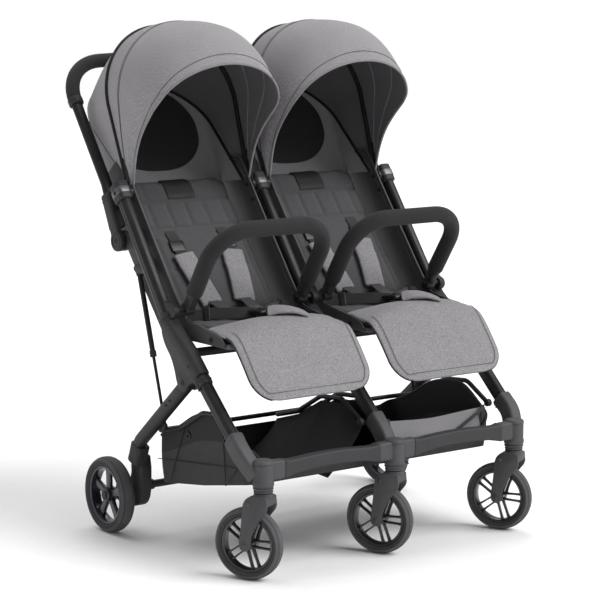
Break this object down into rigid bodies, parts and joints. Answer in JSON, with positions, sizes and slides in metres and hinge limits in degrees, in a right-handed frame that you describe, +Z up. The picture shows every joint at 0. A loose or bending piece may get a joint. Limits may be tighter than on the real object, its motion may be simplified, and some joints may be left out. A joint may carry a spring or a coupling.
{
  "type": "double stroller",
  "caption": "Side-by-side folding stroller with swivelling front casters, reclining seats, folding canopies, bumper bars, footrests and a shopping basket.",
  "frame": {"origin": "floor level under the middle of the bounding box", "axes": "+Z up, -Y the way it travels, +X to the right when it is seen from the front"},
  "size_m": [0.769, 0.773, 1.061],
  "materials": {
    "frame_tube": "matt black anodised",
    "link_rod": "dark plated",
    "joint_plastic": "fine texture",
    "caster_plastic": "satin grey",
    "rim_plastic": "semi-gloss black",
    "tyre": "matt dark grey",
    "foam": "matt foam sleeve",
    "melange": "light grey melange weave",
    "lining": "dark grey weave",
    "basket_fabric": "black fabric and mesh"
  },
  "bodies": {
    "front_frame": {"front_leg_left": "frame_tube", "front_leg_middle": "frame_tube", "front_leg_right": "frame_tube", "leg_casting_left": "joint_plastic", "leg_casting_middle": "joint_plastic", "leg_casting_right": "joint_plastic", "seat_tube_left": "frame_tube", "seat_tube_middle": "frame_tube", "seat_tube_right": "frame_tube", "canopy_clamp_left": "joint_plastic", "canopy_clamp_middle": "joint_plastic", "canopy_clamp_right": "joint_plastic", "caster_housing_left": "caster_plastic", "caster_housing_middle": "caster_plastic", "caster_housing_right": "caster_plastic", "front_crossbar_left": "caster_plastic", "front_crossbar_right": "caster_plastic", "canopy_rear_left": "lining", "canopy_rear_right": "lining", "canopy_bow_left": "frame_tube", "canopy_bow_right": "frame_tube", "seat_base_left": "lining", "seat_base_right": "lining", "basket": "basket_fabric", "basket_rail": "frame_tube", "basket_arch": "frame_tube"},
    "rear_frame": {"rear_leg_left": "frame_tube", "rear_leg_right": "frame_tube", "rear_axle": "joint_plastic"},
    "brake": {"brake_pedal": "joint_plastic"},
    "handle": {"handle_bar": "frame_tube", "handle_grip": "foam", "handle_sleeve_left": "joint_plastic", "handle_sleeve_right": "joint_plastic"},
    "rear_wheel_left": {"rear_rim_left": "rim_plastic", "rear_tyre_left": "tyre"},
    "link_sleeve_left": {"fold_link_sleeve_left": "frame_tube"},
    "link_rod_left": {"fold_link_rod_left": "link_rod"},
    "canopy_left": {"canopy_front_left": "melange"},
    "back_left": {"backrest_left": "lining"},
    "foot_left": {"footrest_left": "melange"},
    "bumper_left": {"bumper_bar_left": "foam"},
    "rear_wheel_right": {"rear_rim_right": "rim_plastic", "rear_tyre_right": "tyre"},
    "link_sleeve_right": {"fold_link_sleeve_right": "frame_tube"},
    "link_rod_right": {"fold_link_rod_right": "link_rod"},
    "canopy_right": {"canopy_front_right": "melange"},
    "back_right": {"backrest_right": "lining"},
    "foot_right": {"footrest_right": "melange"},
    "bumper_right": {"bumper_bar_right": "foam"},
    "caster_left": {"caster_fork_left": "caster_plastic"},
    "front_wheel_left": {"front_rim_left": "rim_plastic", "front_tyre_left": "tyre"},
    "caster_middle": {"caster_fork_middle": "caster_plastic"},
    "front_wheel_middle": {"front_rim_middle": "rim_plastic", "front_tyre_middle": "tyre"},
    "caster_right": {"caster_fork_right": "caster_plastic"},
    "front_wheel_right": {"front_rim_right": "rim_plastic", "front_tyre_right": "tyre"}
  },
  "joints": [
    {"name": "frame_fold", "type": "hinge", "parent": "front_frame", "child": "rear_frame", "pos_m": [0, -0.12376, 0.358], "axis": [-1, 0, 0], "range_deg": [0, 45]},
    {"name": "handle_fold", "type": "hinge", "parent": "front_frame", "child": "handle", "pos_m": [0, 0.12824, 0.617], "axis": [-1, 0, 0], "range_deg": [0, 88]},
    {"name": "link_swing_left", "type": "hinge", "parent": "front_frame", "child": "link_sleeve_left", "pos_m": [-0.3275, 0.08724, 0.563], "axis": [-1, 0, 0], "range_deg": [0, 13.4]},
    {"name": "link_slide_left", "type": "slide", "parent": "link_sleeve_left", "child": "link_rod_left", "axis": [0, -0.2912, -0.9567], "range_m": [0, 0.089]},
    {"name": "link_swing_right", "type": "hinge", "parent": "front_frame", "child": "link_sleeve_right", "pos_m": [0.3275, 0.08724, 0.563], "axis": [-1, 0, 0], "range_deg": [0, 13.4]},
    {"name": "link_slide_right", "type": "slide", "parent": "link_sleeve_right", "child": "link_rod_right", "axis": [0, -0.2912, -0.9567], "range_m": [0, 0.089]},
    {"name": "caster_swivel_left", "type": "hinge", "parent": "front_frame", "child": "caster_left", "pos_m": [-0.322, -0.34776, 0.2], "axis": [0, 0, 1], "continuous": true},
    {"name": "front_wheel_spin_left", "type": "hinge", "parent": "caster_left", "child": "front_wheel_left", "pos_m": [-0.33617, -0.32019, 0.0715], "axis": [0.8894, 0.4571, 0], "continuous": true},
    {"name": "caster_swivel_middle", "type": "hinge", "parent": "front_frame", "child": "caster_middle", "pos_m": [0, -0.34776, 0.2], "axis": [0, 0, 1], "continuous": true},
    {"name": "front_wheel_spin_middle", "type": "hinge", "parent": "caster_middle", "child": "front_wheel_middle", "pos_m": [-0.01417, -0.32019, 0.0715], "axis": [0.8894, 0.4571, 0], "continuous": true},
    {"name": "caster_swivel_right", "type": "hinge", "parent": "front_frame", "child": "caster_right", "pos_m": [0.322, -0.34776, 0.2], "axis": [0, 0, 1], "continuous": true},
    {"name": "front_wheel_spin_right", "type": "hinge", "parent": "caster_right", "child": "front_wheel_right", "pos_m": [0.30783, -0.32019, 0.0715], "axis": [0.8894, 0.4571, 0], "continuous": true},
    {"name": "rear_wheel_spin_left", "type": "hinge", "parent": "rear_frame", "child": "rear_wheel_left", "pos_m": [-0.368, 0.14824, 0.08], "axis": [1, 0, 0], "continuous": true},
    {"name": "canopy_fold_left", "type": "hinge", "parent": "front_frame", "child": "canopy_left", "pos_m": [-0.1725, 0.12324, 0.716], "axis": [-1, 0, 0], "range_deg": [0, 46]},
    {"name": "recline_left", "type": "hinge", "parent": "front_frame", "child": "back_left", "pos_m": [-0.1725, -0.01076, 0.455], "axis": [1, 0, 0], "range_deg": [-30, 0]},
    {"name": "footrest_lift_left", "type": "hinge", "parent": "front_frame", "child": "foot_left", "pos_m": [-0.1725, -0.23876, 0.446], "axis": [-1, 0, 0], "range_deg": [0, 50]},
    {"name": "bumper_swing_left", "type": "hinge", "parent": "front_frame", "child": "bumper_left", "pos_m": [-0.1725, -0.07376, 0.497], "axis": [1, 0, 0], "range_deg": [0, 55]},
    {"name": "rear_wheel_spin_right", "type": "hinge", "parent": "rear_frame", "child": "rear_wheel_right", "pos_m": [0.368, 0.14824, 0.08], "axis": [1, 0, 0], "continuous": true},
    {"name": "canopy_fold_right", "type": "hinge", "parent": "front_frame", "child": "canopy_right", "pos_m": [0.1725, 0.12324, 0.716], "axis": [-1, 0, 0], "range_deg": [0, 46]},
    {"name": "recline_right", "type": "hinge", "parent": "front_frame", "child": "back_right", "pos_m": [0.1725, -0.01076, 0.455], "axis": [1, 0, 0], "range_deg": [-30, 0]},
    {"name": "footrest_lift_right", "type": "hinge", "parent": "front_frame", "child": "foot_right", "pos_m": [0.1725, -0.23876, 0.446], "axis": [-1, 0, 0], "range_deg": [0, 50]},
    {"name": "bumper_swing_right", "type": "hinge", "parent": "front_frame", "child": "bumper_right", "pos_m": [0.1725, -0.07376, 0.497], "axis": [1, 0, 0], "range_deg": [0, 55]},
    {"name": "brake_press", "type": "hinge", "parent": "rear_frame", "child": "brake", "pos_m": [0.29, 0.12524, 0.11], "axis": [-1, 0, 0], "range_deg": [0, 18]}
  ],
  "couplings": [
    {"joint": "handle_fold", "follows": "frame_fold", "ratio": 1.95},
    {"joint": "link_swing_left", "follows": "frame_fold", "ratio": 0.2946},
    {"joint": "link_slide_left", "follows": "frame_fold", "m_per_rad": 0.11295},
    {"joint": "link_swing_right", "follows": "frame_fold", "ratio": 0.2946},
    {"joint": "link_slide_right", "follows": "frame_fold", "m_per_rad": 0.11295}
  ]
}
